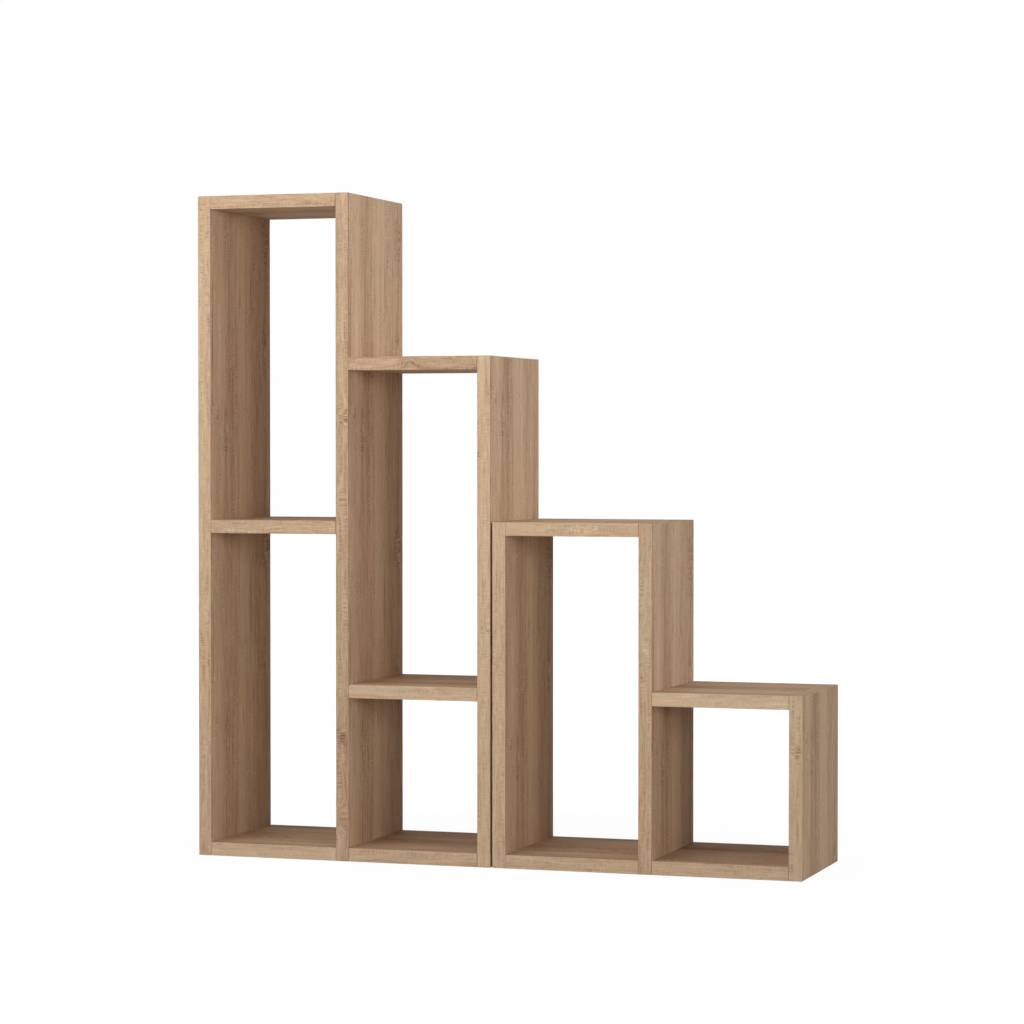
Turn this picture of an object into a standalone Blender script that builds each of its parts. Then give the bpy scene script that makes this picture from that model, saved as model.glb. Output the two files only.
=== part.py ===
"""A stepped open plant stand of faced chipboard, in two modules that stand side by side.

Upright boards run the full height of each module, and level boards lie between them. Every end of a
level board has two wooden dowels and a cam lock: a steel bolt in the upright, whose head is held by
a cam in the underside of the level board. The front looks along -Y, and the stand rests on Z = 0.
"""

import math

import bmesh
import bpy
from mathutils import Matrix, Vector

# Boards, in metres
board_thickness = 0.018
board_depth = 0.208
column_width = 0.181  # clear width between two uprights
cell_height = 0.200  # clear height of one cell
module_gap = 0.003  # between the two modules
arris_width = 0.0006  # the small flat that breaks every edge of a board

# Fits
seat_gap = 0.0003  # between two faces that meet
bore_gap = 0.0003  # round a round piece in its bore
cut_overrun = 0.002  # how far a cutter starts outside the face that it enters

# Dowels, one on each side of the cam lock
dowel_radius = 0.004
dowel_offset = 0.064  # from the middle of the board's depth
dowel_chamfer = 0.001
dowel_end_gap = 0.001  # free space for glue at the bottom of a blind bore
socket_floor = 0.006  # board left behind a blind bore in an upright

# Cam, a hollow eccentric cup in the underside of a level board
cam_radius = 0.0072
cam_inset = 0.024  # from the end of the level board to the cam's axis
cam_sink = 0.0004  # from the underside of the board up to the cam's face
cam_wall = 0.0018
cam_eccentricity = 0.0004
cam_crown = 0.001  # the roof over the hollow
recess_length = 0.0064
recess_width = 0.0013
recess_depth = 0.0022

# Bolt, screwed into an upright
head_radius = 0.0032
head_land = 0.0006  # the straight rim of the head
head_cone = 0.0012  # the slope behind the rim, which the cam pulls on
head_dome = 0.0018
neck_radius = 0.0018
shank_radius = 0.0029
collar_radius = 0.0037
collar_length = 0.0015
thread_radius = 0.0028
thread_tip = 0.0022

# Angles and counts
entry_angle = math.radians(-110)  # where the bolt's head goes into the cam, from the locked place
slot_past_lock = math.radians(30)
dowel_sides = 10
bolt_sides = 8
cam_sides = 16
hollow_sides = 12
slot_steps = 5

# The stand's layout: cells that each upright is high, and the levels at which each column has a board
modules = (
    {"name": "tall", "upright_cells": (4, 4, 3), "levels": ((0, 2, 4), (0, 1, 3))},
    {"name": "low", "upright_cells": (2, 2, 1), "levels": ((0, 2), (0, 1))},
)
upright_places = ("left", "middle", "right")

# Sizes that follow
pitch = cell_height + board_thickness
column_step = column_width + board_thickness
module_width = len(modules[0]["levels"]) * column_step + board_thickness
stand_width = len(modules) * module_width + module_gap
socket_depth = board_thickness - socket_floor
dowel_reach = socket_depth - dowel_end_gap - seat_gap
hollow_radius = cam_radius - cam_wall
lock_radius = hollow_radius - cam_eccentricity  # from the cam's axis to the wall that the head bears on
hollow_bottom = board_thickness / 2 - cam_sink - head_radius - bore_gap
hollow_top = board_thickness / 2 - cam_sink + head_radius + bore_gap
cam_height = hollow_top + cam_crown
bolt_reach = seat_gap + cam_inset  # from the upright's face to the cam's axis
head_start = bolt_reach - math.sqrt(lock_radius**2 - head_radius**2) + bore_gap
shank_end = bolt_reach - cam_radius - bore_gap


def new_collection(name):
    made = bpy.data.collections.new(name)
    bpy.context.scene.collection.children.link(made)
    return made


def new_finish(name, colour, roughness, metallic):
    finish = bpy.data.materials.new(name)
    finish.use_nodes = True
    surface = finish.node_tree.nodes["Principled BSDF"]
    surface.inputs["Base Color"].default_value = (*colour, 1.0)
    surface.inputs["Roughness"].default_value = roughness
    surface.inputs["Metallic"].default_value = metallic
    finish.diffuse_color = (*colour, 1.0)
    return finish


def new_object(name, mesh, collection, parent, place=(0, 0, 0), turn=(0, 0, 0)):
    """An object on the mesh, set under its module's empty."""
    made = bpy.data.objects.new(name, mesh)
    collection.objects.link(made)
    made.parent = parent
    made.location = place
    made.rotation_euler = turn
    return made


def mesh_of(name, bm):
    """Ends the bmesh as a mesh."""
    mesh = bpy.data.meshes.new(name)
    bm.to_mesh(mesh)
    bm.free()
    return mesh


def settled_mesh(name, source):
    """The evaluated mesh of an object, for pieces that share it, smooth on its round faces."""
    bpy.context.view_layer.update()
    depsgraph = bpy.context.evaluated_depsgraph_get()
    mesh = bpy.data.meshes.new_from_object(source.evaluated_get(depsgraph))
    mesh.name = name
    mesh.shade_smooth()
    mesh.set_sharp_from_angle(angle=math.radians(40))
    return mesh


def add_cylinder(bm, start, direction, length, radius, sides):
    """Adds a closed cylinder that runs from start, and returns its vertices."""
    direction = Vector(direction)
    middle = Vector(start) + direction * (length / 2)
    turn = direction.to_track_quat("Z", "Y").to_matrix().to_4x4()
    return bmesh.ops.create_cone(
        bm,
        cap_ends=True,
        segments=sides,
        radius1=radius,
        radius2=radius,
        depth=length,
        matrix=Matrix.Translation(middle) @ turn,
    )["verts"]


def add_box(bm, size):
    """Adds a box of this size, centred on the origin."""
    verts = bmesh.ops.create_cube(bm, size=1.0)["verts"]
    bmesh.ops.scale(bm, vec=size, verts=verts)


def add_boolean(target, tool, operation):
    """Cuts target with tool, or joins tool to it. The tool keeps out of the render."""
    tool.hide_render = True
    tool.display_type = "WIRE"
    step = target.modifiers.new(tool.name, "BOOLEAN")
    step.object = tool
    step.operation = operation
    step.solver = "EXACT"


def make_board(name, module, low_corner, size):
    """A board with all its edges broken, from its low corner in the module."""
    bm = bmesh.new()
    add_box(bm, size)
    middle = Vector(low_corner) + Vector(size) / 2
    board = new_object(name, mesh_of(name, bm), parts, module, middle)
    board.data.materials.append(oak_finish)
    edge = board.modifiers.new("broken_edges", "BEVEL")
    edge.width = arris_width
    edge.segments = 1
    edge.limit_method = "NONE"
    return board


def upright_x(index):
    """The left face of a module's upright."""
    return index * column_step


def level_middle(level):
    """The height at the middle of a level board's thickness."""
    return level * pitch + board_thickness / 2


def joints_of(levels, index):
    """What meets an upright: the level, and whether its boards are to the left, to the right or both."""
    left = levels[index - 1] if index > 0 else ()
    right = levels[index] if index < len(levels) else ()
    found = []
    for level in sorted(set(left) | set(right)):
        sides = [side for side, row in (("left", left), ("right", right)) if level in row]
        found.append((level, "both" if len(sides) == 2 else sides[0]))
    return found


def drill_upright(board, module, levels, index):
    """Bores the sockets of the dowels and bolts, blind from one face or right through."""
    bm = bmesh.new()
    face = upright_x(index)
    for level, side in joints_of(levels, index):
        start = {
            "left": face - cut_overrun,
            "right": face + board_thickness - socket_depth,
            "both": face - cut_overrun,
        }[side]
        length = socket_depth + cut_overrun
        bolt_radius = thread_radius
        if side == "both":
            length = board_thickness + 2 * cut_overrun
            bolt_radius = shank_radius
        for offset in (-dowel_offset, dowel_offset):
            spot = (start, board_depth / 2 + offset, level_middle(level))
            add_cylinder(bm, spot, (1, 0, 0), length, dowel_radius + bore_gap, dowel_sides)
        spot = (start, board_depth / 2, level_middle(level))
        add_cylinder(bm, spot, (1, 0, 0), length, bolt_radius + bore_gap, bolt_sides)
    name = board.name + "_sockets"
    add_boolean(board, new_object(name, mesh_of(name, bm), cutters, module), "DIFFERENCE")


def add_dowel(bm, start, length):
    """A dowel along +X with its two rims chamfered."""
    verts = add_cylinder(bm, start, (1, 0, 0), length, dowel_radius, dowel_sides)
    rims = {edge for vert in verts for edge in vert.link_edges if abs(edge_run(edge).x) < dowel_chamfer}
    bmesh.ops.bevel(bm, geom=list(rims), offset=dowel_chamfer, segments=1, affect="EDGES")


def edge_run(edge):
    return edge.verts[1].co - edge.verts[0].co


def make_level(name, module, column, level, shared_left, shared_right):
    """A level board with its dowels glued in, the bores of its cams and the ways in for its bolts."""
    left_end = upright_x(column) + board_thickness + seat_gap
    right_end = upright_x(column + 1) - seat_gap
    low_corner = (left_end, 0, level * pitch)
    board = make_board(name, module, low_corner, (right_end - left_end, board_depth, board_thickness))
    middle = level_middle(level)
    rows = [board_depth / 2 - dowel_offset, board_depth / 2 + dowel_offset]

    # Where the next column has a board at the same level, the dowels run on through the upright into it
    reach_left = 0 if shared_left else seat_gap + dowel_reach
    reach_right = seat_gap + dowel_reach
    if shared_right:
        reach_right += board_thickness + seat_gap
    bm = bmesh.new()
    for row in rows:
        if not shared_left:
            start = (left_end - reach_left, row, middle)
            add_dowel(bm, start, reach_left + board_thickness)
        add_dowel(bm, (right_end - board_thickness, row, middle), board_thickness + reach_right)
    dowels = new_object(name + "_dowels", mesh_of(name + "_dowels", bm), cutters, module)
    add_boolean(board, dowels, "UNION")

    cam_spots = (left_end + cam_inset, right_end - cam_inset)
    bm = bmesh.new()
    for spot in cam_spots:
        start = (spot, board_depth / 2, level * pitch - cut_overrun)
        depth = cam_sink + cam_height + bore_gap
        add_cylinder(bm, start, (0, 0, 1), cut_overrun + depth, cam_radius + bore_gap, cam_sides)
    bores = new_object(name + "_cam_bores", mesh_of(name + "_cam_bores", bm), cutters, module)
    add_boolean(board, bores, "DIFFERENCE")

    bm = bmesh.new()
    way = cam_inset + cut_overrun
    for start in (left_end - cut_overrun, right_end - cam_inset):
        spot = (start, board_depth / 2, middle)
        add_cylinder(bm, spot, (1, 0, 0), way, collar_radius + bore_gap, bolt_sides)
    if shared_left:
        for row in rows:
            spot = (left_end - cut_overrun, row, middle)
            depth = dowel_reach + dowel_end_gap + seat_gap
            add_cylinder(bm, spot, (1, 0, 0), cut_overrun + depth, dowel_radius + bore_gap, dowel_sides)
    ways = new_object(name + "_bolt_ways", mesh_of(name + "_bolt_ways", bm), cutters, module)
    add_boolean(board, ways, "DIFFERENCE")


def slot_mesh():
    """The neck's slot: a rectangle spun round the cam's axis, from the entry to just past the lock."""
    half_height = neck_radius + bore_gap
    middle = board_thickness / 2 - cam_sink
    inner = hollow_radius / 2
    outer = cam_radius + cut_overrun
    bm = bmesh.new()
    corners = [(inner, -half_height), (outer, -half_height), (outer, half_height), (inner, half_height)]
    face = bm.faces.new([bm.verts.new((r, 0, middle + z)) for r, z in corners])
    turn = Matrix.Rotation(entry_angle, 4, "Z")
    bmesh.ops.transform(bm, matrix=turn, verts=bm.verts)
    bmesh.ops.spin(
        bm,
        geom=[face, *face.edges, *face.verts],
        cent=(0, 0, 0),
        axis=(0, 0, 1),
        angle=slot_past_lock - entry_angle,
        steps=slot_steps,
    )
    bmesh.ops.recalc_face_normals(bm, faces=bm.faces)
    return mesh_of("neck_slot", bm)


def cam_mesh():
    """The cam, face down: a cup with an eccentric hollow, an entry, a slot and a cross recess.

    The bolt comes in along -X when the cam is locked. The head goes in through the entry, and the
    two lips of the narrow slot pull on its cone as the cam turns.
    """
    middle = board_thickness / 2 - cam_sink
    bm = bmesh.new()
    add_cylinder(bm, (0, 0, 0), (0, 0, 1), cam_height, cam_radius, cam_sides)
    cam = new_object("cam_body", mesh_of("cam_body", bm), cutters, None)
    tools = []

    bm = bmesh.new()
    spot = (-cam_eccentricity, 0, hollow_bottom)
    add_cylinder(bm, spot, (0, 0, 1), hollow_top - hollow_bottom, hollow_radius, hollow_sides)
    tools.append(new_object("cam_hollow", mesh_of("cam_hollow", bm), cutters, None))

    tools.append(new_object("neck_slot", slot_mesh(), cutters, None))

    bm = bmesh.new()
    outwards = (math.cos(entry_angle), math.sin(entry_angle), 0)
    way = cam_radius + cut_overrun
    add_cylinder(bm, (0, 0, middle), outwards, way, head_radius + bore_gap / 2, bolt_sides)
    tools.append(new_object("head_entry", mesh_of("head_entry", bm), cutters, None))

    for name, size in (
        ("recess_along", (recess_length, recess_width, 2 * recess_depth)),
        ("recess_across", (recess_width, recess_length, 2 * recess_depth)),
    ):
        bm = bmesh.new()
        add_box(bm, size)
        tools.append(new_object(name, mesh_of(name, bm), cutters, None))

    for tool in tools:
        add_boolean(cam, tool, "DIFFERENCE")
    mesh = settled_mesh("cam", cam)
    for used in [cam, *tools]:
        bpy.data.objects.remove(used)
    return mesh


def head_profile():
    """Radius and height down the bolt's outer side, from the tip of the head to the end of the shank."""
    top = head_start + head_cone + head_land + head_dome
    dome_shares = ((0.0, 1.0), (0.78, 0.62))  # of the head's radius and of the dome's height
    rim = top - head_dome
    dome = [(head_radius * r, rim + head_dome * z) for r, z in dome_shares]
    return [
        *dome,
        (head_radius, rim),
        (head_radius, rim - head_land),
        (neck_radius, head_start),
        (neck_radius, shank_end),
        (shank_radius, shank_end),
    ]


def turned_mesh(name, profile):
    """A profile in the XZ plane turned round Z."""
    mesh = bpy.data.meshes.new(name + "_profile")
    points = [(radius, 0, height) for radius, height in profile]
    mesh.from_pydata(points, [(i, i + 1) for i in range(len(points) - 1)], [])
    profile_object = new_object(name + "_profile", mesh, cutters, None)
    lathe = profile_object.modifiers.new("turned", "SCREW")
    lathe.axis = "Z"
    lathe.steps = bolt_sides
    lathe.render_steps = bolt_sides
    lathe.use_merge_vertices = True
    lathe.merge_threshold = seat_gap / 30
    turned = settled_mesh(name, profile_object)
    bpy.data.objects.remove(profile_object)
    return turned


def bolt_mesh():
    """A bolt that screws into one face of an upright, whose face is at height zero."""
    profile = [
        *head_profile(),
        (shank_radius, seat_gap + collar_length),
        (collar_radius, seat_gap + collar_length),
        (collar_radius, seat_gap),
        (thread_radius, seat_gap),
        (thread_radius, thread_tip + dowel_end_gap - socket_depth),
        (0, dowel_end_gap - socket_depth),
    ]
    return turned_mesh("bolt", profile)


def double_bolt_mesh():
    """A bolt through a middle upright, with a head at each end and its middle at height zero."""
    upper = [(radius, height + board_thickness / 2) for radius, height in head_profile()]
    lower = [(radius, -height) for radius, height in reversed(upper)]
    return turned_mesh("double_bolt", [*upper, *lower])


def add_cam_lock(name, module, board_end, into_board, level, bolt):
    """The cam in the level board and, where the upright takes its own, the bolt in the upright's face."""
    middle_depth = board_depth / 2
    cam_x = board_end + into_board * cam_inset
    cam_turn = math.pi if into_board > 0 else 0
    spot = (cam_x, middle_depth, level * pitch + cam_sink)
    new_object(name + "_cam", cam_shape, parts, module, spot, (0, 0, cam_turn))
    if bolt:
        spot = (board_end - into_board * seat_gap, middle_depth, level_middle(level))
        turn = (0, into_board * math.pi / 2, 0)
        new_object(name + "_bolt", bolt_shape, parts, module, spot, turn)


def level_name(number, levels, level):
    """Such as column_1_top."""
    place = "shelf"
    if level == levels[0]:
        place = "bottom"
    if level == levels[-1]:
        place = "top"
    return f"column_{number}_{place}"


def make_module(order, layout):
    """One free-standing module: its uprights, level boards and locks, under an empty at its left front foot."""
    module = bpy.data.objects.new(layout["name"] + "_module", None)
    parts.objects.link(module)
    left = order * (module_width + module_gap) - stand_width / 2
    module.location = (left, -board_depth / 2, 0)
    levels = layout["levels"]

    for index, cells in enumerate(layout["upright_cells"]):
        name = f"{layout['name']}_{upright_places[index]}_upright"
        size = (board_thickness, board_depth, cells * pitch + board_thickness)
        board = make_board(name, module, (upright_x(index), 0, 0), size)
        drill_upright(board, module, levels, index)

    for column, column_levels in enumerate(levels):
        number = order * len(levels) + column + 1
        shared_left = {level for level, side in joints_of(levels, column) if side == "both"}
        shared_right = {level for level, side in joints_of(levels, column + 1) if side == "both"}
        left_end = upright_x(column) + board_thickness + seat_gap
        right_end = upright_x(column + 1) - seat_gap
        for level in column_levels:
            name = level_name(number, column_levels, level)
            on_left = level in shared_left
            on_right = level in shared_right
            make_level(name, module, column, level, on_left, on_right)
            add_cam_lock(name + "_left", module, left_end, 1, level, not on_left)
            add_cam_lock(name + "_right", module, right_end, -1, level, not on_right)
            if on_right:
                spot = (right_end + seat_gap + board_thickness / 2, board_depth / 2, level_middle(level))
                name = layout["name"] + "_double_bolt"
                new_object(name, double_bolt_shape, parts, module, spot, (0, math.pi / 2, 0))


for old in list(bpy.data.objects):
    bpy.data.objects.remove(old)

parts = new_collection("stepped_plant_stand")
cutters = new_collection("cutters")
oak_finish = new_finish("oak_facing", (0.50, 0.35, 0.21), 0.62, 0.0)
cam_finish = new_finish("die_cast_zinc", (0.56, 0.56, 0.55), 0.42, 1.0)
bolt_finish = new_finish("zinc_plated_steel", (0.64, 0.64, 0.62), 0.32, 1.0)

cam_shape = cam_mesh()
cam_shape.materials.append(cam_finish)
bolt_shape = bolt_mesh()
bolt_shape.materials.append(bolt_finish)
double_bolt_shape = double_bolt_mesh()
double_bolt_shape.materials.append(bolt_finish)

for order, layout in enumerate(modules):
    make_module(order, layout)
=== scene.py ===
import math

import bpy
import numpy as np
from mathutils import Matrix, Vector


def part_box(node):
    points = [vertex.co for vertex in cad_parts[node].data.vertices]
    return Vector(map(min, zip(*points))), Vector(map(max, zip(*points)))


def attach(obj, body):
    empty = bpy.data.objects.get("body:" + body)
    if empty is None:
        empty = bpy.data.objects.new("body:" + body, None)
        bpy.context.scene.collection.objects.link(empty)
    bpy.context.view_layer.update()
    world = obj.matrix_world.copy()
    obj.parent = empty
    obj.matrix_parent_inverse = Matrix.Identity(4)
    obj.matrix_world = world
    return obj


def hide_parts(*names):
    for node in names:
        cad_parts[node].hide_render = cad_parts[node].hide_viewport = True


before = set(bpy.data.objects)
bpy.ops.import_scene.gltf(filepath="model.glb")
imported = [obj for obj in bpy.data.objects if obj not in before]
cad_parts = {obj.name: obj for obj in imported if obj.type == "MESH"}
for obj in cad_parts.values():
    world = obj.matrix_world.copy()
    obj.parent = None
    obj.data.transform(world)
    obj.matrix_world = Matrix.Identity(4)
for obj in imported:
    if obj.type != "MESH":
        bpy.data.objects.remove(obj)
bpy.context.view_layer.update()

scene = bpy.context.scene
scene.view_settings.view_transform = "Standard"


# An input may be a number, a colour or another node's socket
def addNode(tree, kind, inputs=None, **settings):
    node = tree.nodes.new(kind)
    for name, value in settings.items():
        setattr(node, name, value)
    for key, value in (inputs or {}).items():
        if isinstance(value, bpy.types.NodeSocket):
            tree.links.new(value, node.inputs[key])
        else:
            node.inputs[key].default_value = value
    return node


def calc(tree, operation, first, second=0.0, third=0.0, clamp=False):
    inputs = {0: first, 1: second}
    if operation == "MULTIPLY_ADD":
        inputs[2] = third
    return addNode(tree, "ShaderNodeMath", inputs, operation=operation, use_clamp=clamp).outputs[0]


def ease(tree, value, low, high, start=0.0, end=1.0):
    # a smooth step: start below low, end above high
    inputs = {"Value": value, "From Min": low, "From Max": high, "To Min": start, "To Max": end}
    node = addNode(tree, "ShaderNodeMapRange", inputs, interpolation_type="SMOOTHSTEP")
    return node.outputs["Result"]


def centred(tree, noise, amount, start):
    # start + amount * (noise - 0.5)
    return calc(tree, "MULTIPLY_ADD", calc(tree, "SUBTRACT", noise, 0.5), amount, start)


def mixColour(tree, amount, first, second, blend="MIX"):
    inputs = {"Factor": amount, 6: first, 7: second}
    return addNode(tree, "ShaderNodeMix", inputs, data_type="RGBA", blend_type=blend).outputs[2]


def newMaterial(name):
    material = bpy.data.materials.new(name)
    material.use_nodes = True
    tree = material.node_tree
    return material, tree, tree.nodes["Principled BSDF"]


def finishSurface(tree, surface, colour, rough, height, bump):
    # bump is a strength and a depth in metres
    tree.links.new(colour, surface.inputs["Base Color"])
    tree.links.new(rough, surface.inputs["Roughness"])
    inputs = {"Strength": bump[0], "Distance": bump[1], "Height": height}
    relief = addNode(tree, "ShaderNodeBump", inputs).outputs[0]
    tree.links.new(relief, surface.inputs["Normal"])


# A mark in the print: its middle and half its reach along and across the grain, how much it
# darkens, how far the lines of the grain bend round it, and how much deeper it is sawn across
def printMark(middle, reach, depth=0.0, bend=0.0, hatch=0.0, ragged=False):
    return dict(middle=middle, reach=reach, depth=depth, bend=bend, hatch=hatch, ragged=ragged)


# the reach of a line or band that runs the whole length of the print
endless = 9.0

facingMarks = (
    printMark((0.052, 0.186), (0.036, 0.0160), depth=0.20, bend=0.013, hatch=0.6, ragged=True),
    printMark((0.205, 0.184), (0.036, 0.0090), depth=0.14, bend=0.007, ragged=True),
    printMark((0.312, 0.052), (0.038, 0.0095), depth=0.14, bend=0.005, hatch=0.5, ragged=True),
    printMark((0.290, 0.0150), (0.026, 0.0120), depth=0.06, bend=0.003, hatch=1.3, ragged=True),
    printMark((0.210, 0.0006), (endless, 0.0026), depth=0.30),
    printMark((0.120, 0.137), (0.070, 0.0026), depth=0.40),
    printMark((0.190, 0.0065), (0.140, 0.0024), depth=0.35),
    printMark((0.210, 0.0150), (endless, 0.036), depth=-0.13),
    printMark((0.210, 0.1210), (endless, 0.040), depth=-0.17),
    printMark((0.210, 0.0700), (endless, 0.034), depth=0.06),
)

edgingMarks = (
    printMark((0.422, 0.206), (0.0260, 0.0110), depth=0.06, bend=0.007, hatch=0.6),
    printMark((0.278, 0.131), (0.0240, 0.0050), depth=-0.25, bend=0.004, ragged=True),
    printMark((0.120, 0.060), (0.0300, 0.0100), bend=0.007),
    printMark((0.195, 0.190), (0.0170, 0.0090), depth=0.08, bend=0.006, hatch=1.4),
    printMark((0.302, 0.187), (0.0300, 0.0100), depth=-0.04, bend=0.009),
    printMark((0.305, 0.155), (0.0360, 0.0090), depth=-0.03, bend=0.008),
    printMark((0.251, 0.084), (0.0320, 0.0100), depth=-0.04, bend=0.010),
    printMark((0.131, 0.008), (0.0300, 0.0090), depth=0.05, bend=0.009, hatch=0.4),
    printMark((0.342, 0.221), (0.0170, 0.0090), depth=0.06, bend=0.004, hatch=1.2),
)

# How far in from its rim a mark is full, in shares of its reach. A swirl is dark round its rim and
# paler inside, and torn up by a fine noise.
markShape = {
    "full": 0.70,
    "sawnFull": 0.50,
    "rimFull": 0.30,
    "hollow": (0.40, 0.75),
    "hollowAmount": 0.75,
    "tornLeast": -0.45,
}

# Layers of noise in the print: waves per metre along and across the grain, a place in the noise,
# and its detail and roughness
grainLayers = {
    "wander": {"along": 7.0, "across": 22.0, "seed": 3.1, "detail": 1.0},
    "curl": {"along": 38.0, "across": 70.0, "seed": 9.4, "detail": 1.0},
    "bands": {"along": 2.2, "across": 30.0, "seed": 11.7, "detail": 1.0},
    "stripes": {"along": 3.0, "across": 95.0, "seed": 47.2, "detail": 1.5},
    "streaks": {"along": 6.0, "across": 250.0, "seed": 5.3, "detail": 2.0, "roughness": 0.65},
    "fibres": {"along": 26.0, "across": 540.0, "seed": 8.9, "detail": 3.0, "roughness": 0.78},
    "pores": {"along": 60.0, "across": 1100.0, "seed": 2.2, "detail": 1.0},
    "dashes": {"along": 46.0, "across": 330.0, "seed": 71.0, "detail": 1.0},
    "flecks": {"along": 30.0, "across": 300.0, "seed": 83.0, "detail": 1.0},
    "sawn": {"along": 16.0, "across": 44.0, "seed": 21.0, "detail": 1.0},
    "torn": {"along": 170.0, "across": 170.0, "seed": 63.0, "detail": 2.0, "roughness": 0.6},
    "lean": {"along": 5.0, "across": 230.0, "seed": 31.0, "detail": 1.5, "roughness": 0.6},
}

# between these two values of its noise a patchy layer goes from nothing to full
patchLimits = {
    "pores": (0.58, 0.70),
    "dashes": (0.57, 0.68),
    "flecks": (0.60, 0.70),
    "sawn": (0.45, 0.66),
    "torn": (0.38, 0.56),
    "lean": (0.30, 0.70),
}

# The print of sawn oak
oakPrint = {
    "repeat": (0.425, 0.226),
    "marks": facingMarks,
    "wander": 0.003,
    "curl": 0.0008,
    "startTone": 0.52,
    "bandAmount": 0.27,
    "stripeAmount": 0.24,
    "streakAmount": 0.68,
    "fibreAmount": 1.05,
    "poreAmount": 0.08,
    "dashAmount": 0.09,
    "fleckAmount": 0.09,
    "sawing": {"along": 520.0, "across": 110.0, "seed": 14.0, "detail": 1.0},
    "sawAmount": 0.72,
    "sawLeast": 0.15,
    "darkest": (0.200, 0.118, 0.078, 1.0),
    "dark": (0.365, 0.227, 0.143, 1.0),
    "middle": (0.512, 0.340, 0.217, 1.0),
    "light": (0.605, 0.422, 0.278, 1.0),
    "lightest": (0.700, 0.515, 0.360, 1.0),
    "tones": {"dark": 0.27, "middle": 0.50, "light": 0.74},
    "ruddy": (1.028, 0.958, 0.930, 1.0),
    "grey": (0.963, 1.027, 1.020, 1.0),
    "roughness": 0.62,
    "roughnessAmount": -0.25,
    "shine": 0.01,
    "sawRelief": 0.8,
    "poreRelief": -0.6,
    "bump": (0.25, 0.0002),
}

# The edging carries a paler, livelier cut of the same print
edgingPrint = dict(
    oakPrint,
    marks=edgingMarks,
    wander=0.014,
    curl=0.0045,
    bandAmount=0.24,
    stripeAmount=0.20,
    streakAmount=0.38,
    fibreAmount=0.92,
    dashAmount=0.04,
    sawing={"along": 820.0, "across": 110.0, "seed": 14.0, "detail": 1.0},
    sawAmount=0.82,
    sawLeast=0.42,
    middle=(0.512, 0.354, 0.226, 1.0),
    light=(0.605, 0.436, 0.290, 1.0),
    lightest=(0.700, 0.530, 0.376, 1.0),
    ruddy=(1.018, 0.970, 0.925, 1.0),
    grey=(0.975, 1.018, 1.025, 1.0),
)


def grainNoise(tree, u, v, along, across, seed, detail, roughness=0.5):
    # a noise stretched along the grain, where u and v are metres along and across it
    x = calc(tree, "MULTIPLY", u, along)
    y = calc(tree, "MULTIPLY", v, across)
    place = addNode(tree, "ShaderNodeCombineXYZ", {"X": x, "Y": y, "Z": seed}).outputs[0]
    inputs = {"Vector": place, "Scale": 1.0, "Detail": detail, "Roughness": roughness}
    return addNode(tree, "ShaderNodeTexNoise", inputs, noise_dimensions="3D").outputs[0]


def layer(tree, u, v, name):
    return grainNoise(tree, u, v, **grainLayers[name])


def patchy(tree, u, v, name, start=0.0, end=1.0):
    return ease(tree, layer(tree, u, v, name), *patchLimits[name], start, end)


def spot(tree, place, centre, reach, repeat):
    # one at the centre of an ellipse and zero at its rim, again in each repeat of the print
    inputs = {0: place, 1: (*centre, 0.0)}
    off = addNode(tree, "ShaderNodeVectorMath", inputs, operation="SUBTRACT").outputs[0]
    half = np.array((*repeat, 2.0)) / 2
    inputs = {0: off, 1: tuple(half), 2: tuple(-half)}
    off = addNode(tree, "ShaderNodeVectorMath", inputs, operation="WRAP").outputs[0]
    inputs = {0: off, 1: (*reach, 1.0)}
    share = addNode(tree, "ShaderNodeVectorMath", inputs, operation="DIVIDE").outputs[0]
    length = addNode(tree, "ShaderNodeVectorMath", {0: share}, operation="LENGTH").outputs["Value"]
    return calc(tree, "SUBTRACT", 1.0, length, clamp=True)


def bendGrain(tree, look, u, straight):
    # the lines of the grain wander a little, and bend round the marks
    wander = layer(tree, u, straight, "wander")
    curl = layer(tree, u, straight, "curl")
    v = centred(tree, curl, look["curl"], centred(tree, wander, look["wander"], straight))
    place = addNode(tree, "ShaderNodeCombineXYZ", {"X": u, "Y": v}).outputs[0]
    inwards = []
    for mark in look["marks"]:
        inward = spot(tree, place, mark["middle"], mark["reach"], look["repeat"])
        inwards.append(inward)
        if mark["bend"]:
            v = calc(tree, "MULTIPLY_ADD", ease(tree, inward, 0.0, 1.0), mark["bend"], v)
    return v, inwards


def sawAcross(tree, look, u, v, inwards):
    # saw marks cross the grain in patches, and in some of the marks
    sawing = grainNoise(tree, u, v, **look["sawing"])
    sawn = patchy(tree, u, v, "sawn", look["sawLeast"])
    for mark, inward in zip(look["marks"], inwards):
        if mark["hatch"]:
            inside = ease(tree, inward, 0.0, markShape["sawnFull"])
            sawn = calc(tree, "MULTIPLY_ADD", inside, mark["hatch"], sawn)
    return calc(tree, "MULTIPLY", calc(tree, "SUBTRACT", sawing, 0.5), sawn)


def darkenMarks(tree, look, u, v, inwards, tone):
    torn = patchy(tree, u, v, "torn", markShape["tornLeast"])
    for mark, inward in zip(look["marks"], inwards):
        if not mark["depth"]:
            continue
        inside = ease(tree, inward, 0.0, markShape["full"])
        if mark["ragged"]:
            hollow = ease(tree, inward, *markShape["hollow"], 0.0, markShape["hollowAmount"])
            rim = calc(tree, "SUBTRACT", ease(tree, inward, 0.0, markShape["rimFull"]), hollow)
            inside = calc(tree, "MULTIPLY", rim, torn)
        tone = calc(tree, "MULTIPLY_ADD", inside, -mark["depth"], tone)
    return tone


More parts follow.
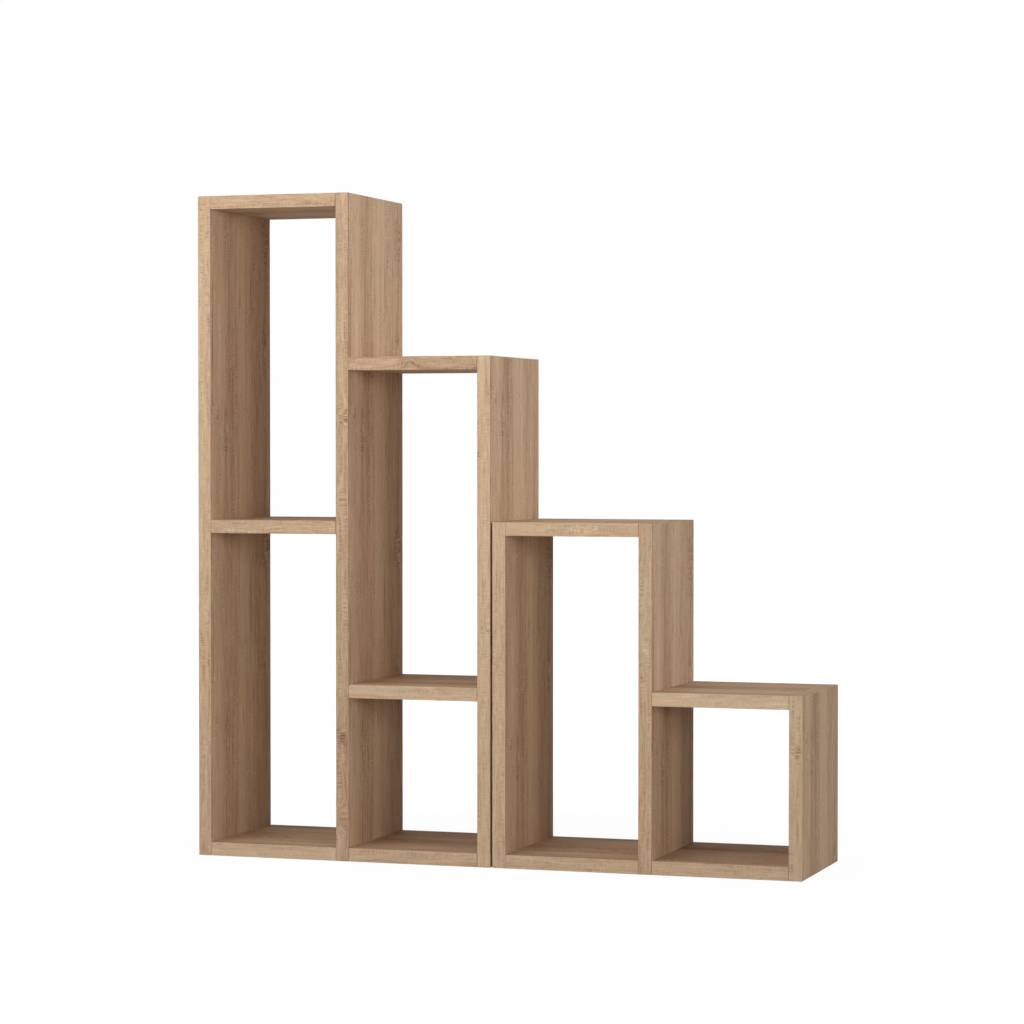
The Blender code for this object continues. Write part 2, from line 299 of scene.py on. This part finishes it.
def makeOak(name, look):
    material, tree, surface = newMaterial(name)
    sheet = addNode(tree, "ShaderNodeUVMap", uv_map="sheet").outputs[0]
    split = addNode(tree, "ShaderNodeSeparateXYZ", {"Vector": sheet})
    u = split.outputs["X"]
    v, inwards = bendGrain(tree, look, u, split.outputs["Y"])

    bands = layer(tree, u, v, "bands")
    stripes = layer(tree, u, v, "stripes")
    streaks = layer(tree, u, v, "streaks")
    fibres = layer(tree, u, v, "fibres")
    pores = patchy(tree, u, v, "pores")
    # short dark dashes, and rarer pale ones
    dashes = patchy(tree, u, v, "dashes")
    flecks = patchy(tree, u, v, "flecks")
    cross = sawAcross(tree, look, u, v, inwards)

    tone = centred(tree, bands, look["bandAmount"], look["startTone"])
    tone = centred(tree, stripes, look["stripeAmount"], tone)
    tone = centred(tree, streaks, look["streakAmount"], tone)
    tone = centred(tree, fibres, look["fibreAmount"], tone)
    tone = calc(tree, "MULTIPLY_ADD", pores, -look["poreAmount"], tone)
    tone = calc(tree, "MULTIPLY_ADD", dashes, -look["dashAmount"], tone)
    tone = calc(tree, "MULTIPLY_ADD", flecks, look["fleckAmount"], tone)
    tone = calc(tree, "MULTIPLY_ADD", cross, look["sawAmount"], tone)
    tone = darkenMarks(tree, look, u, v, inwards, tone)

    # no two strips of edging have quite the same tone
    strip = addNode(tree, "ShaderNodeAttribute", attribute_name="tone").outputs["Fac"]
    tone = calc(tree, "ADD", tone, strip)

    ramp = addNode(tree, "ShaderNodeValToRGB", {"Fac": tone})
    stops = ramp.color_ramp.elements
    stops[0].color = look["darkest"]
    stops[1].color = look["lightest"]
    for key, position in look["tones"].items():
        stops.new(position).color = look[key]

    # some lines are ruddy and some grey
    lean = layer(tree, u, v, "lean")
    ruddy = mixColour(tree, 1.0, ramp.outputs["Color"], look["ruddy"], "MULTIPLY")
    grey = mixColour(tree, 1.0, ramp.outputs["Color"], look["grey"], "MULTIPLY")
    colour = mixColour(tree, ease(tree, lean, *patchLimits["lean"]), grey, ruddy)

    rough = centred(tree, fibres, look["roughnessAmount"], look["roughness"])
    height = calc(tree, "MULTIPLY_ADD", pores, look["poreRelief"], fibres)
    height = calc(tree, "MULTIPLY_ADD", cross, look["sawRelief"], height)
    finishSurface(tree, surface, colour, rough, height, look["bump"])
    surface.inputs["Specular IOR Level"].default_value = look["shine"]
    return material


chipboardLook = {
    "chipScale": 700.0,
    "dustScale": 2400.0,
    "dustDetail": 3.0,
    "dustAmount": 0.6,
    "dark": (0.36, 0.25, 0.14, 1.0),
    "pale": (0.62, 0.48, 0.31, 1.0),
    "roughLimits": (0.2, 0.8),
    "roughness": (0.75, 0.95),
    "bump": (0.6, 0.0004),
}


def makeChipboard(name, look):
    # pressed wood chips, seen in the bores
    material, tree, surface = newMaterial(name)
    place = addNode(tree, "ShaderNodeTexCoord").outputs["Object"]
    inputs = {"Vector": place, "Scale": look["chipScale"], "Randomness": 1.0}
    chips = addNode(tree, "ShaderNodeTexVoronoi", inputs).outputs["Color"]
    inputs = {"Vector": place, "Scale": look["dustScale"], "Detail": look["dustDetail"]}
    dust = addNode(tree, "ShaderNodeTexNoise", inputs).outputs[0]
    chip = centred(tree, dust, look["dustAmount"], chips)
    colour = mixColour(tree, chip, look["dark"], look["pale"])
    rough = ease(tree, dust, *look["roughLimits"], *look["roughness"])
    finishSurface(tree, surface, colour, rough, chip, look["bump"])
    return material


# Zinc, cast for the cams and plated on the bolts: a cloudy tone, finer specks on it, and a rougher
# bloom where it is dull. The grain is how fine the clouds are.
zincLook = {
    "colour": (0.56, 0.56, 0.55, 1.0),
    "darker": (0.40, 0.40, 0.395, 1.0),
    "grain": 900.0,
    "cloudDetail": 3.0,
    "speckGrain": 6300.0,
    "speckDetail": 2.0,
    "speckAmount": 0.5,
    "toneLimits": (0.3, 0.7),
    "roughLimits": (0.25, 0.75),
    "roughness": (0.34, 0.54),
    "bump": (0.3, 0.0001),
}

steelLook = dict(
    zincLook,
    colour=(0.64, 0.64, 0.62, 1.0),
    darker=(0.50, 0.50, 0.47, 1.0),
    grain=1400.0,
    speckGrain=9800.0,
    roughness=(0.24, 0.44),
)


def makeMetal(name, look):
    material, tree, surface = newMaterial(name)
    place = addNode(tree, "ShaderNodeTexCoord").outputs["Object"]
    inputs = {"Vector": place, "Scale": look["grain"], "Detail": look["cloudDetail"]}
    cloud = addNode(tree, "ShaderNodeTexNoise", inputs).outputs[0]
    inputs = {"Vector": place, "Scale": look["speckGrain"], "Detail": look["speckDetail"]}
    specks = addNode(tree, "ShaderNodeTexNoise", inputs).outputs[0]
    share = centred(tree, specks, look["speckAmount"], cloud)
    colour = mixColour(tree, ease(tree, share, *look["toneLimits"]), look["colour"], look["darker"])
    rough = ease(tree, share, *look["roughLimits"], *look["roughness"])
    finishSurface(tree, surface, colour, rough, share, look["bump"])
    surface.inputs["Metallic"].default_value = 1.0
    return material


beechLook = {
    "lines": {"along": 60.0, "across": 1500.0, "seed": 4.0, "detail": 2.0},
    "rays": {"along": 900.0, "across": 4200.0, "seed": 7.0, "detail": 1.0},
    "rayLimits": (0.60, 0.72),
    "rayAmount": 0.5,
    "rayColour": (0.40, 0.24, 0.13, 1.0),
    "toneLimits": (0.3, 0.7),
    "dark": (0.56, 0.37, 0.21, 1.0),
    "pale": (0.70, 0.50, 0.32, 1.0),
    "roughLimits": (0.2, 0.8),
    "roughness": (0.62, 0.80),
    "bump": (0.3, 0.0001),
}


def makeBeech(name, look):
    # plain turned beech: fine lines along the peg, and short dark rays
    material, tree, surface = newMaterial(name)
    place = addNode(tree, "ShaderNodeTexCoord").outputs["Object"]
    split = addNode(tree, "ShaderNodeSeparateXYZ", {"Vector": place})
    along = split.outputs["X"]
    across = calc(tree, "ADD", split.outputs["Y"], split.outputs["Z"])
    lines = grainNoise(tree, along, across, **look["lines"])
    rays = ease(tree, grainNoise(tree, along, across, **look["rays"]), *look["rayLimits"])
    colour = mixColour(tree, ease(tree, lines, *look["toneLimits"]), look["dark"], look["pale"])
    colour = mixColour(tree, calc(tree, "MULTIPLY", rays, look["rayAmount"]), colour, look["rayColour"])
    rough = ease(tree, lines, *look["roughLimits"], *look["roughness"])
    finishSurface(tree, surface, colour, rough, lines, look["bump"])
    return material


oakFacing = makeOak("oak_facing", oakPrint)
oakEdging = makeOak("oak_edging", edgingPrint)
chipboard = makeChipboard("chipboard", chipboardLook)
beech = makeBeech("beech", beechLook)
camZinc = makeMetal("cam_zinc", zincLook)
boltSteel = makeMetal("bolt_steel", steelLook)
print("finishes made")


# Which two directions an outline lies in, and which it is carried along
axisOrder = {"z": (0, 1, 2), "x": (1, 2, 0), "y": (2, 0, 1)}

# Every edge that carries no edging is broken by the arris
boardLook = {
    "seatGap": 0.0003,
    "edging": 0.0008,
    "edgingRadius": 0.0007,
    "edgingSteps": 5,
    "arris": 0.00008,
    "arrisSteps": 1,
    "leastRadius": 0.00001,
}

# How much further along and across the print each strip starts than its board's edging does, and
# how much further across an end face starts than its side
sheetShifts = {
    "front": (0.11, 0.31),
    "back": (0.28, 0.38),
    "foot": (0.0, 0.47),
    "head": (0.05, 0.50),
    "endFace": 0.05,
}


def roundedOutline(width, depth, radii, steps, inset):
    # Outline of a rectangle, anticlockwise. Each corner is a quarter circle r(cos a, sin a) about a
    # centre r inside both sides, and an inset moves the sides in and takes itself off each r.
    turns = np.linspace(0.0, math.pi / 2, steps + 1)
    signs = ((1, -1), (1, 1), (-1, 1), (-1, -1))
    points = []
    for number, ((signA, signB), radius) in enumerate(zip(signs, radii)):
        r = max(radius - inset, boardLook["leastRadius"])
        middle = np.array((signA * (width / 2 - inset - r), signB * (depth / 2 - inset - r)))
        angles = turns + (number - 1) * math.pi / 2
        points.append(middle + r * np.stack((np.cos(angles), np.sin(angles)), axis=1))
    return np.concatenate(points)


def slab(low, high, axis, radii, steps, endRadius, endSteps, sheetStart, flip=False):
    # A rounded outline carried along an axis. At each end the outline is inset by r(1 - sin t) at the
    # distance r(1 - cos t) from the end, t from 0 to 90 degrees, and a flat face closes it.
    low, high = np.array(low), np.array(high)
    order = list(axisOrder[axis])
    size = (high - low)[order]
    middle = ((high + low) / 2)[order]
    count = 4 * (steps + 1)
    turn = np.linspace(0.0, math.pi / 2, endSteps + 1)
    inward = endRadius * (1 - np.sin(turn))
    rise = endRadius * (1 - np.cos(turn))
    insets = np.concatenate((inward, inward[::-1]))
    places = np.concatenate((rise, size[2] - rise[::-1]))
    rings = []
    for inset, place in zip(insets, places):
        outline = roundedOutline(size[0], size[1], radii, steps, inset)
        ring = np.column_stack((outline + middle[:2], np.full(count, middle[2] - size[2] / 2 + place)))
        rings.append(ring)
    local = np.concatenate(rings)
    points = np.empty_like(local)
    points[:, order] = local

    # the sheet: u runs along the axis, v round the outline from its first corner
    outline = roundedOutline(size[0], size[1], radii, steps, 0.0)
    legs = np.linalg.norm(np.roll(outline, -1, axis=0) - outline, axis=1)
    across = np.concatenate(((0.0,), np.cumsum(legs))) + sheetStart[1]
    along = (size[2] - places if flip else places) + sheetStart[0]

    i = np.arange(count)
    j = np.arange(len(places) - 1)
    ii, jj = np.meshgrid(i, j)
    nextI = (ii + 1) % count
    corners = (jj * count + ii, jj * count + nextI, (jj + 1) * count + nextI, (jj + 1) * count + ii)
    quads = np.stack(corners, axis=-1).reshape(-1, 4)
    us = np.stack((along[jj], along[jj], along[jj + 1], along[jj + 1]), axis=-1).reshape(-1)
    vs = np.stack((across[ii], across[ii + 1], across[ii + 1], across[ii]), axis=-1).reshape(-1)
    flatSide = (ii % (steps + 1)) == steps
    smooth = ~(flatSide & (jj == endSteps)).reshape(-1)
    lowCap = i[::-1]
    highCap = i + j.size * count
    capStart = (sheetStart[0], sheetStart[1] + sheetShifts["endFace"])
    capUv = [(local[cap] - middle)[:, [1, 0]] + capStart for cap in (lowCap, highCap)]
    return {
        "points": points,
        "faces": quads.tolist() + [lowCap.tolist(), highCap.tolist()],
        "sheet": np.concatenate((np.column_stack((us, vs)), *capUv)),
        "smooth": np.concatenate((smooth, (False, False))),
    }


def joinShells(shells):
    # the points, no loose edges and the faces of several closed shells, as one mesh takes them
    faces = []
    start = 0
    for shell in shells:
        faces += [[start + corner for corner in face] for face in shell["faces"]]
        start += len(shell["points"])
    return np.concatenate([shell["points"] for shell in shells]).tolist(), [], faces


def makePiece(name, shells, material, replaced=(), tone=0.0):
    # the shells become one mesh with their sheet lengths as its UV map
    mesh = bpy.data.meshes.new(name)
    mesh.from_pydata(*joinShells(shells))
    lengths = np.concatenate([shell["sheet"] for shell in shells])
    sheet = mesh.uv_layers.new(name="sheet")
    sheet.data.foreach_set("uv", lengths.astype(np.float32).ravel())
    smooth = np.concatenate([shell["smooth"] for shell in shells])
    mesh.polygons.foreach_set("use_smooth", smooth.astype(bool))
    tones = mesh.attributes.new("tone", "FLOAT", "POINT")
    tones.data.foreach_set("value", np.full(len(mesh.vertices), tone, dtype=np.float32))
    mesh.materials.append(material)
    mesh.update()
    piece = bpy.data.objects.new(name, mesh)
    scene.collection.objects.link(piece)
    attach(piece, "root")
    if replaced:
        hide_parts(*replaced)
    return piece


def boardShells(low, high, axis, facingStart, edgingStart, endsBanded):
    # the chipboard panel between its facings, and the strips of edging round it
    band, radius, arris = boardLook["edging"], boardLook["edgingRadius"], boardLook["arris"]
    steps, arrisSteps = boardLook["edgingSteps"], boardLook["arrisSteps"]
    low, high = np.array(low), np.array(high)
    run = "xyz".index(axis)
    flip = axis == "z"
    panelLow = low + (0, band, 0)
    panelHigh = high - (0, band, 0)
    if endsBanded:
        panelLow[run] += band
        panelHigh[run] -= band
    panel = slab(
        panelLow, panelHigh, axis, (arris,) * 4, arrisSteps, arris, arrisSteps, facingStart, flip
    )

    def startOf(side):
        return (edgingStart[0] + sheetShifts[side][0], edgingStart[1] + sheetShifts[side][1])

    strips = []
    frontRadii = (radius, arris, arris, radius) if flip else (arris, arris, radius, radius)
    backRadii = (arris, radius, radius, arris) if flip else (radius, radius, arris, arris)
    endRadius, endSteps = (radius, steps) if endsBanded else (arris, arrisSteps)
    for side, radii in (("front", frontRadii), ("back", backRadii)):
        stripLow, stripHigh = low.copy(), high.copy()
        if side == "front":
            stripHigh[1] = low[1] + band
        else:
            stripLow[1] = high[1] - band
        strips.append(
            slab(stripLow, stripHigh, axis, radii, steps, endRadius, endSteps, startOf(side), flip)
        )
    if endsBanded:
        for side in ("foot", "head"):
            stripLow, stripHigh = panelLow.copy(), panelHigh.copy()
            if side == "foot":
                stripLow[run], stripHigh[run] = low[run], low[run] + band
                radii = (arris, arris, radius, radius)
            else:
                stripLow[run], stripHigh[run] = high[run] - band, high[run]
                radii = (radius, radius, arris, arris)
            strips.append(slab(stripLow, stripHigh, "y", radii, steps, arris, arrisSteps, startOf(side)))
    return panel, strips


fittings = {
    "boardThickness": 0.018,
    "gap": 0.0003,
    "camInset": 0.024,
    "camRadius": 0.0072,
    "collarRadius": 0.0037,
    "threadRadius": 0.0028,
    "shankRadius": 0.0029,
    "dowelRadius": 0.004,
    "dowelRows": (-0.064, 0.064),
    "socketDepth": 0.012,
    "dowelReach": 0.0107,
    "overrun": 0.001,
    "boreSides": 32,
    "sharedRight": ("column_1_bottom", "column_3_bottom"),
    "sharedLeft": ("column_2_bottom", "column_4_bottom"),
}


def drum(start, end, radius):
    # a closed cylinder between two points: start + r(cos a * p + sin a * q), p and q across its axis
    start, end = np.array(start), np.array(end)
    run = (end - start) / np.linalg.norm(end - start)
    p = np.roll(run, 1)
    q = np.cross(run, p)
    sides = fittings["boreSides"]
    angles = np.linspace(0, 2 * math.pi, sides, endpoint=False)
    ring = radius * (np.outer(np.cos(angles), p) + np.outer(np.sin(angles), q))
    i = np.arange(sides)
    nextI = (i + 1) % sides
    quads = np.column_stack((i, nextI, nextI + sides, i + sides)).tolist()
    return {
        "points": np.concatenate((start + ring, end + ring)),
        "faces": quads + [i[::-1].tolist(), (i + sides).tolist()],
    }


def cutAway(piece, drums):
    # takes the drums out of a piece and leaves chipboard on the walls
    mesh = bpy.data.meshes.new("bores")
    mesh.from_pydata(*joinShells(drums))
    mesh.materials.append(chipboard)
    tool = bpy.data.objects.new("bores", mesh)
    scene.collection.objects.link(tool)
    step = piece.modifiers.new("bores", "BOOLEAN")
    step.object = tool
    step.operation = "DIFFERENCE"
    step.solver = "EXACT"
    step.use_self = True
    step.material_mode = "TRANSFER"
    bpy.context.view_layer.update()
    depsgraph = bpy.context.evaluated_depsgraph_get()
    cut = bpy.data.meshes.new_from_object(piece.evaluated_get(depsgraph))
    old = piece.data
    piece.modifiers.clear()
    piece.data = cut
    cut.name = piece.name
    bpy.data.meshes.remove(old)
    bpy.data.objects.remove(tool)
    bpy.data.meshes.remove(mesh)


def turned(start, run, profile, sides, fluteCount=0, fluteDepth=0.0, sheetStart=(0.0, 0.0)):
    # A closed turned piece. The profile lists (distance along the axis, radius); at the angle a its
    # radius is less by fluteDepth * max(0, cos(fluteCount a)) squared.
    start, run = np.array(start), np.array(run, dtype=float)
    p = np.roll(run, 1)
    q = np.cross(run, p)
    places, radii = np.array(profile).T
    angles = np.linspace(0, 2 * math.pi, sides, endpoint=False)
    flute = fluteDepth * np.maximum(0.0, np.cos(fluteCount * angles)) ** 2
    reach = radii[:, None] - flute[None, :]
    outward = np.outer(np.cos(angles), p) + np.outer(np.sin(angles), q)
    points = start + places[:, None, None] * run + reach[:, :, None] * outward
    rings = len(places)
    i, j = np.meshgrid(np.arange(sides), np.arange(rings - 1))
    nextI = (i + 1) % sides
    corners = (j * sides + i, j * sides + nextI, (j + 1) * sides + nextI, (j + 1) * sides + i)
    quads = np.stack(corners, axis=-1).reshape(-1, 4)
    caps = (np.arange(sides)[::-1], np.arange(sides) + (rings - 1) * sides)
    flat = points.reshape(-1, 3)
    away = flat[np.concatenate((quads.reshape(-1), *caps))] - start
    return {
        "points": flat,
        "faces": quads.tolist() + [cap.tolist() for cap in caps],
        "sheet": np.column_stack((away[:, 0] + sheetStart[0], away[:, 1] + away[:, 2] + sheetStart[1])),
        "smooth": np.array([True] * len(quads) + [False, False]),
    }


# The rim lists, in chamfers, how far along the peg a ring is and how much thinner than the peg
dowelLook = {
    "sides": 96,
    "fluteCount": 16,
    "fluteDepth": 0.00022,
    "chamfer": 0.001,
    "rim": ((0.0, 0.8), (0.5, 0.3), (1.0, 0.0)),
}


def dowel(start, end):
    # a fluted peg along +X, both rims chamfered
    length = end[0] - start[0]
    radius, chamfer = fittings["dowelRadius"], dowelLook["chamfer"]
    rim = dowelLook["rim"]
    profile = [(chamfer * along, radius - chamfer * less) for along, less in rim]
    profile += [(length - chamfer * along, radius - chamfer * less) for along, less in rim[::-1]]
    flutes = (dowelLook["fluteCount"], dowelLook["fluteDepth"])
    return turned(start, (1, 0, 0), profile, dowelLook["sides"], *flutes)


# Caps go under the boards that are higher than fromHeight
capLook = {
    "radius": 0.0100,
    "thickness": 0.0004,
    "edge": 0.00012,
    "edgeSteps": 4,
    "sides": 72,
    "fromHeight": 0.1,
}


def capOver(x, y, underside, sheetStart):
    # a stuck-on disc under a cam, its rim a quarter circle
    radius, thick, edge = capLook["radius"], capLook["thickness"], capLook["edge"]
    turns = np.linspace(0.0, math.pi / 2, capLook["edgeSteps"] + 1)
    rim = [(thick - edge + edge * math.sin(turn), radius - edge + edge * math.cos(turn)) for turn in turns]
    profile = [(0.0, radius)] + rim
    return turned((x, y, underside), (0, 0, -1), profile, capLook["sides"], sheetStart=sheetStart)


def jointOf(name, side, low, high):
    # the bores that one end of a level board needs, in itself and in its upright, and its dowels
    sign = 1 if side == "right" else -1
    end = high[0] if side == "right" else low[0]
    middle = (low[2] + high[2]) / 2
    gap, over, thick = fittings["gap"], fittings["overrun"], fittings["boardThickness"]
    face = end + sign * gap
    # where two bottom boards meet, the left one's fittings run through the upright into the right one
    shared = name in fittings["sharedRight"] and side == "right"
    taken = name in fittings["sharedLeft"] and side == "left"
    depth = thick + over if shared else fittings["socketDepth"]
    boltRadius = fittings["shankRadius"] if shared else fittings["threadRadius"]
    dowelRadius = fittings["dowelRadius"]

    def way(xFrom, xTo, y, radius):
        return drum((min(xFrom, xTo), y, middle), (max(xFrom, xTo), y, middle), radius + gap)

    own = [way(end + sign * over, end - sign * fittings["camInset"], 0.0, fittings["collarRadius"])]
    upright, pegs = [], []
    if not taken:
        upright.append(way(face - sign * over, face + sign * depth, 0.0, boltRadius))
    for y in fittings["dowelRows"]:
        if taken:
            inward = fittings["dowelReach"] + over + gap
            own.append(way(end + sign * over, end - sign * inward, y, dowelRadius))
            continue
        reach = gap + fittings["dowelReach"] + (thick + gap if shared else 0.0)
        ends = sorted((end - sign * thick, end + sign * reach))
        pegs.append(dowel((ends[0], y, middle), (ends[1], y, middle)))
        own.append(way(end + sign * over, end - sign * (thick + gap), y, dowelRadius))
        upright.append(way(face - sign * over, face + sign * depth, y, dowelRadius))
    return own, upright, pegs


# Where on the print the facing and the edging of each upright start, and how much paler than the
# print its edging is
uprights = {
    "tall_left_upright": {"facing": (0.0, 0.0), "edging": (0.0, 0.196), "tone": 0.0},
    "tall_middle_upright": {"facing": (0.0, 0.0), "edging": (0.21, 0.078), "tone": -0.10},
    "tall_right_upright": {"facing": (0.238, 0.0), "edging": (0.10, 0.120), "tone": 0.04},
    "low_left_upright": {"facing": (0.0, 0.0), "edging": (0.33, 0.153), "tone": 0.0},
    "low_middle_upright": {"facing": (0.0, 0.0), "edging": (0.05, 0.270), "tone": -0.04},
    "low_right_upright": {"facing": (0.238, 0.0), "edging": (0.16, 0.108), "tone": 0.05},
}

# The two uprights that each level board lies between, and how much paler its edging is
levels = {
    "column_1_bottom": {"between": ("tall_left_upright", "tall_middle_upright"), "tone": 0.14},
    "column_1_shelf": {"between": ("tall_left_upright", "tall_middle_upright"), "tone": -0.03},
    "column_1_top": {"between": ("tall_left_upright", "tall_middle_upright"), "tone": -0.03},
    "column_2_bottom": {"between": ("tall_middle_upright", "tall_right_upright"), "tone": 0.0},
    "column_2_shelf": {"between": ("tall_middle_upright", "tall_right_upright"), "tone": 0.08},
    "column_2_top": {"between": ("tall_middle_upright", "tall_right_upright"), "tone": -0.12},
    "column_3_bottom": {"between": ("low_left_upright", "low_middle_upright"), "tone": 0.0},
    "column_3_top": {"between": ("low_left_upright", "low_middle_upright"), "tone": 0.07},
    "column_4_bottom": {"between": ("low_middle_upright", "low_right_upright"), "tone": 0.0},
    "column_4_top": {"between": ("low_middle_upright", "low_right_upright"), "tone": 0.21},
}

# each level board is cut from the print a step further on than the one before
levelPrint = {"start": (0.0, 0.5), "step": (0.13, 0.19)}

uprightBores = {name: [] for name in uprights}
for number, (name, level) in enumerate(levels.items()):
    leftName, rightName = level["between"]
    low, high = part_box(name)
    low = Vector((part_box(leftName)[1][0] + boardLook["seatGap"], low[1], low[2]))
    high = Vector((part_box(rightName)[0][0] - boardLook["seatGap"], high[1], high[2]))
    cut = tuple(a + b * number for a, b in zip(levelPrint["start"], levelPrint["step"]))
    panel, strips = boardShells(low, high, "x", cut, cut, False)
    board = makePiece(name + "_panel", [panel], oakFacing, (name,))
    makePiece(name + "_edging", strips, oakEdging, tone=level["tone"])
    bores, pegs = [], []
    for side, uprightName in (("left", leftName), ("right", rightName)):
        camLow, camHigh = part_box(f"{name}_{side}_cam")
        x, y = (camLow[0] + camHigh[0]) / 2, (camLow[1] + camHigh[1]) / 2
        foot = (x, y, low[2] - fittings["overrun"])
        head = (x, y, camHigh[2] + fittings["gap"])
        bores.append(drum(foot, head, fittings["camRadius"] + fittings["gap"]))
        own, upright, ends = jointOf(name, side, low, high)
        bores += own
        pegs += ends
        uprightBores[uprightName] += upright
        if low[2] > capLook["fromHeight"]:
            cap = capOver(x, y, low[2], cut)
            makePiece(f"{name}_{side}_cap", [cap], oakFacing)
    cutAway(board, bores)
    if pegs:
        makePiece(name + "_dowels", pegs, beech)
print("level boards made")

for name, look in uprights.items():
    low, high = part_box(name)
    panel, strips = boardShells(low, high, "z", look["facing"], look["edging"], True)
    board = makePiece(name + "_panel", [panel], oakFacing, (name,))
    makePiece(name + "_edging", strips, oakEdging, tone=look["tone"])
    cutAway(board, uprightBores[name])
print("uprights made")

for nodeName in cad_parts:
    node = bpy.data.objects.get(nodeName)
    if node and nodeName.endswith("_cam"):
        node.material_slots[0].material = camZinc
    if node and nodeName.endswith("_bolt"):
        node.material_slots[0].material = boltSteel
print("cam locks finished")


studio = {
    "skyStrength": 0.08,
    "skyColour": (0.84, 0.97, 1.24, 1.0),
    "white": (1.0, 1.0, 1.0, 1.0),
    "floorReach": 14.0,
    "floorDrop": 0.0003,
    "floorColour": (0.46, 0.48, 0.51, 1.0),
    "floorRoughness": 0.9,
    "floorWhite": 1.085,
    "shadowShare": 0.12,
    "shadowReach": (0.42, 1.1),
}


def viewRays(tree):
    # one for what the camera sees directly, in a reflection or through glass
    path = addNode(tree, "ShaderNodeLightPath")
    seen = calc(tree, "MAXIMUM", path.outputs["Is Camera Ray"], path.outputs["Is Glossy Ray"])
    return calc(tree, "MAXIMUM", seen, path.outputs["Is Transmission Ray"])


def makeFloor():
    mesh = bpy.data.meshes.new("studio_floor")
    reach, height = studio["floorReach"], -studio["floorDrop"]
    corners = [(x * reach, y * reach, height) for x, y in ((-1, -1), (1, -1), (1, 1), (-1, 1))]
    mesh.from_pydata(corners, [], [(0, 1, 2, 3)])
    floor = bpy.data.objects.new("studio_floor", mesh)
    scene.collection.objects.link(floor)
    material, tree, surface = newMaterial("studio_floor")
    surface.inputs["Base Color"].default_value = studio["floorColour"]
    surface.inputs["Roughness"].default_value = studio["floorRoughness"]
    white = addNode(tree, "ShaderNodeEmission", {"Strength": studio["floorWhite"]}).outputs[0]
    # the shadow is left only near the stand
    place = addNode(tree, "ShaderNodeTexCoord").outputs["Object"]
    away = addNode(tree, "ShaderNodeVectorMath", {0: place}, operation="LENGTH").outputs["Value"]
    plain = ease(tree, away, *studio["shadowReach"], 1.0 - studio["shadowShare"], 1.0)
    share = calc(tree, "MULTIPLY", viewRays(tree), plain)
    mixed = addNode(tree, "ShaderNodeMixShader", {0: share, 1: surface.outputs[0], 2: white})
    tree.links.new(mixed.outputs[0], tree.nodes["Material Output"].inputs["Surface"])
    mesh.materials.append(material)


def makeWorld():
    world = bpy.data.worlds.new("studio")
    world.use_nodes = True
    tree = world.node_tree
    tree.nodes.clear()
    inputs = {"Color": studio["skyColour"], "Strength": studio["skyStrength"]}
    sky = addNode(tree, "ShaderNodeBackground", inputs)
    seen = addNode(tree, "ShaderNodeBackground", {"Color": studio["white"], "Strength": 1.0})
    inputs = {0: viewRays(tree), 1: sky.outputs[0], 2: seen.outputs[0]}
    mixed = addNode(tree, "ShaderNodeMixShader", inputs)
    output = addNode(tree, "ShaderNodeOutputWorld")
    tree.links.new(mixed.outputs[0], output.inputs["Surface"])
    scene.world = world


# The spread is the whole angle of the beam in degrees
lamps = {
    "front_left_lamp": dict(place=(-1.8, -2.8, 0.8), aim=(0.0, 0.0, 1.3), size=1.6, power=16.5, spread=90),
    "front_lamp": dict(place=(0.0, -4.0, 0.6), aim=(-0.4, 0.0, 1.6), size=1.6, power=7.6, spread=70),
    "front_right_lamp": dict(place=(3.0, -4.3, 0.8), aim=(0.1, 0.0, 0.9), size=2.0, power=7.3, spread=70),
    "near_right_lamp": dict(place=(1.9, -2.3, 1.0), aim=(-0.6, 0.0, 1.2), size=0.8, power=0.8, spread=50),
    "right_lamp": dict(place=(3.3, -2.3, 1.0), aim=(-0.2, 0.0, 0.7), size=1.0, power=8.2, spread=90),
    "high_side_lamp": dict(place=(4.2, -0.1, 2.6), aim=(-0.3, 0.0, 1.4), size=1.2, power=10.4, spread=60),
    "top_lamp": dict(place=(-0.2, -0.8, 2.9), aim=(0.0, 0.0, 0.5), size=2.0, power=21.0, spread=180),
    "back_left_lamp": dict(place=(-1.7, 2.7, 1.0), aim=(0.0, 0.0, 0.6), size=1.6, power=8.5, spread=120),
    "back_lamp": dict(place=(-0.9, 4.2, 0.35), aim=(0.0, 0.0, 0.55), size=0.9, power=4.2, spread=32),
}


def addLamp(name, place, aim, size, power, spread):
    lamp = bpy.data.lights.new(name, "AREA")
    lamp.shape = "SQUARE"
    lamp.size = size
    lamp.energy = power
    lamp.spread = math.radians(spread)
    holder = bpy.data.objects.new(name, lamp)
    scene.collection.objects.link(holder)
    holder.location = place
    holder.rotation_euler = (Vector(aim) - Vector(place)).to_track_quat("-Z", "Y").to_euler()
    # a lamp behind the stand would leave a grey sheen on its tops
    holder.visible_glossy = place[1] < 0


# Angles in radians, lens and sensor in millimetres
cameraLook = {
    "place": (1.3207, -3.99691, 0.55537),
    "yaw": 0.32041,
    "pitchDown": 0.02146,
    "lens": 110.42,
    "sensor": 36.0,
    "clipEnd": 100.0,
}


def addCamera():
    camera = bpy.data.cameras.new("camera")
    camera.lens = cameraLook["lens"]
    camera.sensor_width = cameraLook["sensor"]
    camera.clip_end = cameraLook["clipEnd"]
    holder = bpy.data.objects.new("camera", camera)
    scene.collection.objects.link(holder)
    holder.location = cameraLook["place"]
    holder.rotation_euler = (math.pi / 2 - cameraLook["pitchDown"], 0.0, cameraLook["yaw"])
    scene.camera = holder


makeFloor()
makeWorld()
for name, lamp in lamps.items():
    addLamp(name, **lamp)
addCamera()
print("studio made")
